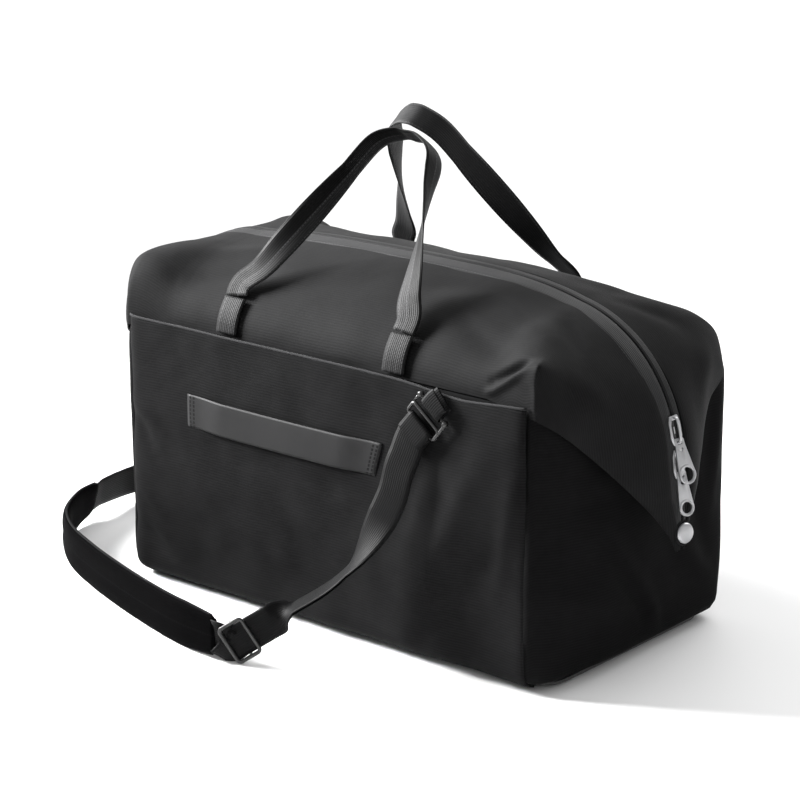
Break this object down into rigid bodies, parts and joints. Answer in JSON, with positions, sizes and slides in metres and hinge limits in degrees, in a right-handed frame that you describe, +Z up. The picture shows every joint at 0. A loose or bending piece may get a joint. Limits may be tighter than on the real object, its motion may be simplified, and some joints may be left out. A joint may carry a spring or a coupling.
{
  "type": "weekender bag",
  "caption": "Soft travel bag with a domed zip-open roof, webbing carry handles, a slip pocket with a luggage band and a padded shoulder strap.",
  "frame": {"origin": "centre of the flat base, on the surface the bag stands on", "axes": "+X along the bag's length towards the end where the zip sliders park, -Y towards the slip pocket, +Z up"},
  "size_m": [0.7162, 0.435, 0.4736],
  "materials": {
    "shell_cloth": "tightly woven matt nylon shell cloth with a fine cross rib, black",
    "lining": "smooth dark grey woven lining",
    "webbing": "ribbed black webbing with a soft sheen",
    "pad_cloth": "black shell cloth over foam with piped edges",
    "band": "smooth black leather-like band with a soft satin sheen",
    "board": "black polyethylene stiffener",
    "black_hardware": "glossy black moulded hook, gate and tri-glide",
    "zip_metal": "matt silver cast sliders, pulls and press stud caps",
    "zip_coil": "black coil teeth",
    "zip_tape": "black woven zip tape"
  },
  "bodies": {
    "body": {"back_panel": "shell_cloth", "base_board": "board", "base_panel": "shell_cloth", "end_panel_left": "shell_cloth", "end_panel_right": "shell_cloth", "front_panel": "shell_cloth", "hook_left": "black_hardware", "hook_right": "black_hardware", "lining": "lining", "luggage_band": "band", "slip_pocket": "shell_cloth", "strap_tab_left": "webbing", "strap_tab_right": "webbing", "wing_left_back": "shell_cloth", "wing_left_front": "shell_cloth", "wing_right_back": "shell_cloth", "wing_right_front": "shell_cloth", "zip_slider_lower": "zip_metal", "zip_tape_left_back": "zip_tape", "zip_tape_left_front": "zip_tape", "zip_tape_right_back": "zip_tape", "zip_tape_right_front": "zip_tape", "zip_teeth_left_back": "zip_coil", "zip_teeth_left_front": "zip_coil", "zip_teeth_right_back": "zip_coil", "zip_teeth_right_front": "zip_coil"},
    "mouth_front": {"roof_front": "shell_cloth", "handle_anchor_front_left": "webbing", "handle_anchor_front_right": "webbing", "zip_teeth_top_front": "zip_coil", "zip_tape_top_front": "zip_tape"},
    "mouth_back": {"roof_back": "shell_cloth", "handle_anchor_back_left": "webbing", "handle_anchor_back_right": "webbing", "zip_teeth_top_back": "zip_coil", "zip_tape_top_back": "zip_tape"},
    "front_handle": {"handle_front": "webbing"},
    "back_handle": {"handle_back": "webbing"},
    "slider": {"zip_slider_upper": "zip_metal"},
    "upper_pull": {"zip_pull_upper": "zip_metal"},
    "lower_pull": {"zip_pull_lower": "zip_metal"},
    "right_snap": {"zip_end_tab_right": "shell_cloth", "snap_cap_right": "zip_metal"},
    "left_snap": {"zip_end_tab_left": "shell_cloth", "snap_cap_left": "zip_metal"},
    "right_gate": {"hook_gate_right": "black_hardware"},
    "left_gate": {"hook_gate_left": "black_hardware"},
    "strap": {"strap_front": "webbing", "strap_rear": "webbing", "shoulder_pad": "pad_cloth"},
    "glide": {"tri_glide": "black_hardware"}
  },
  "joints": [
    {"name": "mouth_front_open", "type": "hinge", "parent": "body", "child": "mouth_front", "pos_m": [0, -0.1335, 0.2655], "axis": [1, 0, 0], "range_deg": [0, 45]},
    {"name": "mouth_back_open", "type": "hinge", "parent": "body", "child": "mouth_back", "pos_m": [0, 0.139, 0.2655], "axis": [-1, 0, 0], "range_deg": [0, 45]},
    {"name": "handle_front_fold", "type": "hinge", "parent": "mouth_front", "child": "front_handle", "pos_m": [-0.015, -0.1203, 0.3003], "axis": [1, 0, 0], "range_deg": [0, 115]},
    {"name": "handle_back_fold", "type": "hinge", "parent": "mouth_back", "child": "back_handle", "pos_m": [-0.015, 0.1258, 0.3003], "axis": [-1, 0, 0], "range_deg": [0, 115]},
    {"name": "zip_travel", "type": "hinge", "parent": "body", "child": "slider", "pos_m": [0.163, 0, 0.19], "axis": [0, -1, 0], "range_deg": [0, 56]},
    {"name": "upper_pull_swing", "type": "hinge", "parent": "slider", "child": "upper_pull", "pos_m": [0.2983, 0, 0.2154], "axis": [0, -1, 0], "range_deg": [0, 115]},
    {"name": "lower_pull_swing", "type": "hinge", "parent": "body", "child": "lower_pull", "pos_m": [0.3018, 0, 0.1857], "axis": [0, -1, 0], "range_deg": [0, 115]},
    {"name": "right_snap_release", "type": "slide", "parent": "body", "child": "right_snap", "axis": [1, 0, 0], "range_m": [0, 0.006]},
    {"name": "left_snap_release", "type": "slide", "parent": "body", "child": "left_snap", "axis": [-1, 0, 0], "range_m": [0, 0.006]},
    {"name": "right_gate_press", "type": "hinge", "parent": "body", "child": "right_gate", "pos_m": [0.1221, -0.1475, 0.2518], "axis": [0, 1, 0], "range_deg": [0, 22], "stiffness_Nm_per_rad": 0.02},
    {"name": "left_gate_press", "type": "hinge", "parent": "body", "child": "left_gate", "pos_m": [-0.1469, 0.1475, 0.2518], "axis": [0, 1, 0], "range_deg": [0, 22], "stiffness_Nm_per_rad": 0.02},
    {"name": "strap_lift", "type": "hinge", "parent": "body", "child": "strap", "pos_m": [0.1255, -0.1475, 0.2266], "axis": [-0.6738, 0.7389, 0], "range_deg": [0, 110], "deforming": ["strap_front", "strap_rear"]},
    {"name": "glide_slide", "type": "slide", "parent": "strap", "child": "glide", "axis": [0.6893, 0.4847, 0.5385], "range_m": [0, 0.02]}
  ],
  "couplings": [
    {"joint": "lower_pull_swing", "follows": "upper_pull_swing", "ratio": 1}
  ]
}
